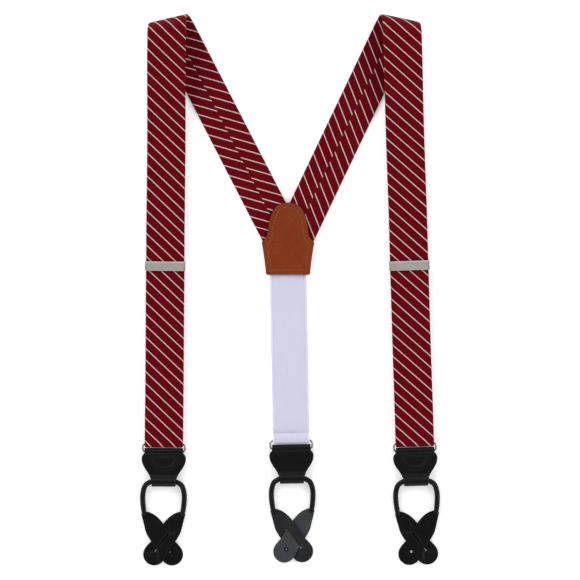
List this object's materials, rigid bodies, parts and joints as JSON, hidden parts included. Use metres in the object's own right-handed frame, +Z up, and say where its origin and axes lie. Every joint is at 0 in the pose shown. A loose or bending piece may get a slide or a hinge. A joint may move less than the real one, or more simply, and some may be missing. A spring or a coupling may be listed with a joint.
{
  "type": "suspenders",
  "caption": "Y-back button suspenders laid flat: striped silk straps, lever adjusters, leather back patch, elastic web, wire rings and leather buttonhole loops.",
  "frame": {"origin": "on the table, under the middle of the outline", "axes": "+Z up from the table, +Y from the buttonhole ends towards the shoulder folds, +X to the right as seen from above"},
  "size_m": [0.27, 0.4964, 0.0222],
  "materials": {
    "silk": "burgundy ribbed silk with thin diagonal pinstripes",
    "lining": "plain canvas interlining",
    "webbing": "matt woven elastic with plain selvedges",
    "tan_leather": "smooth tan leather with a creased border",
    "black_leather": "black leather, fine grain, suede flesh side",
    "nickel": "satin nickel plate"
  },
  "bodies": {
    "back": {"patch_front": "tan_leather", "patch_back": "tan_leather", "elastic": "webbing", "left_rear_run": "silk", "left_rear_lining": "lining", "left_shoulder_turn": "silk", "left_shoulder_lining": "lining", "right_rear_run": "silk", "right_rear_lining": "lining", "right_shoulder_turn": "silk", "right_shoulder_lining": "lining"},
    "left_front": {"left_front_run": "silk", "left_front_lining": "lining"},
    "left_turn": {"left_ring_turn": "silk"},
    "left_adjuster": {"left_adjuster_frame": "nickel", "left_adjuster_pin": "nickel", "left_return_run": "silk"},
    "left_cover": {"left_adjuster_cover": "nickel"},
    "left_ring": {"left_ring": "nickel"},
    "left_keeper": {"left_keeper": "black_leather"},
    "left_loop": {"left_leather_loop": "black_leather"},
    "right_front": {"right_front_run": "silk", "right_front_lining": "lining"},
    "right_turn": {"right_ring_turn": "silk"},
    "right_adjuster": {"right_adjuster_frame": "nickel", "right_adjuster_pin": "nickel", "right_return_run": "silk"},
    "right_cover": {"right_adjuster_cover": "nickel"},
    "right_ring": {"right_ring": "nickel"},
    "right_keeper": {"right_keeper": "black_leather"},
    "right_loop": {"right_leather_loop": "black_leather"},
    "rear_ring": {"rear_ring": "nickel"},
    "rear_keeper": {"rear_keeper": "black_leather"},
    "rear_loop": {"rear_leather_loop": "black_leather"}
  },
  "joints": [
    {"name": "left_shoulder_fold", "type": "hinge", "parent": "back", "child": "left_front", "pos_m": [-0.10917, 0.24323, 0.0111], "axis": [-0.9729, -0.2313, 0], "range_deg": [0, 180], "deforming": ["left_shoulder_turn", "left_shoulder_lining"]},
    {"name": "left_length", "type": "slide", "parent": "left_front", "child": "left_turn", "axis": [-0.0079, -1, 0], "range_m": [-0.05, 0.12], "deforming": ["left_front_run", "left_front_lining"]},
    {"name": "left_adjuster_slide", "type": "slide", "parent": "left_turn", "child": "left_adjuster", "axis": [-0.0079, -1, 0], "range_m": [-0.05, 0.12], "deforming": ["left_return_run"]},
    {"name": "left_cover_lever", "type": "hinge", "parent": "left_adjuster", "child": "left_cover", "pos_m": [-0.11225, 0.02441, 0.0086], "axis": [-1, 0.0079, 0], "range_deg": [0, 100]},
    {"name": "left_ring_swing", "type": "hinge", "parent": "left_turn", "child": "left_ring", "pos_m": [-0.11353, -0.13838, 0.0035], "axis": [1, -0.0079, 0], "range_deg": [-60, 60]},
    {"name": "left_keeper_swing", "type": "hinge", "parent": "left_ring", "child": "left_keeper", "pos_m": [-0.11359, -0.14598, 0.0035], "axis": [1, -0.0079, 0], "range_deg": [-55, 55]},
    {"name": "left_loop_swing", "type": "hinge", "parent": "left_keeper", "child": "left_loop", "pos_m": [-0.1138, -0.17283, 0.0043], "axis": [1, -0.0079, 0], "range_deg": [-45, 45]},
    {"name": "right_shoulder_fold", "type": "hinge", "parent": "back", "child": "right_front", "pos_m": [0.09903, 0.24363, 0.0111], "axis": [-0.9787, 0.2053, 0], "range_deg": [0, 180], "deforming": ["right_shoulder_turn", "right_shoulder_lining"]},
    {"name": "right_length", "type": "slide", "parent": "right_front", "child": "right_turn", "axis": [0.0314, -0.9995, 0], "range_m": [-0.05, 0.12], "deforming": ["right_front_run", "right_front_lining"]},
    {"name": "right_adjuster_slide", "type": "slide", "parent": "right_turn", "child": "right_adjuster", "axis": [0.0314, -0.9995, 0], "range_m": [-0.05, 0.12], "deforming": ["right_return_run"]},
    {"name": "right_cover_lever", "type": "hinge", "parent": "right_adjuster", "child": "right_cover", "pos_m": [0.10725, 0.02496, 0.0086], "axis": [-0.9995, -0.0314, 0], "range_deg": [0, 100]},
    {"name": "right_ring_swing", "type": "hinge", "parent": "right_turn", "child": "right_ring", "pos_m": [0.11236, -0.13775, 0.0035], "axis": [0.9995, 0.0314, 0], "range_deg": [-60, 60]},
    {"name": "right_keeper_swing", "type": "hinge", "parent": "right_ring", "child": "right_keeper", "pos_m": [0.1126, -0.14535, 0.0035], "axis": [0.9995, 0.0314, 0], "range_deg": [-55, 55]},
    {"name": "right_loop_swing", "type": "hinge", "parent": "right_keeper", "child": "right_loop", "pos_m": [0.11344, -0.17219, 0.0043], "axis": [0.9995, 0.0314, 0], "range_deg": [-45, 45]},
    {"name": "rear_ring_swing", "type": "hinge", "parent": "back", "child": "rear_ring", "pos_m": [0.00106, -0.13564, 0.0035], "axis": [0.9998, 0.0183, 0], "range_deg": [-60, 60]},
    {"name": "rear_keeper_swing", "type": "hinge", "parent": "rear_ring", "child": "rear_keeper", "pos_m": [0.0012, -0.14324, 0.0035], "axis": [0.9998, 0.0183, 0], "range_deg": [-55, 55]},
    {"name": "rear_loop_swing", "type": "hinge", "parent": "rear_keeper", "child": "rear_loop", "pos_m": [0.00169, -0.17008, 0.0043], "axis": [0.9998, 0.0183, 0], "range_deg": [-45, 45]}
  ],
  "couplings": [
    {"joint": "left_adjuster_slide", "follows": "left_length", "ratio": 1},
    {"joint": "right_adjuster_slide", "follows": "right_length", "ratio": 1}
  ]
}
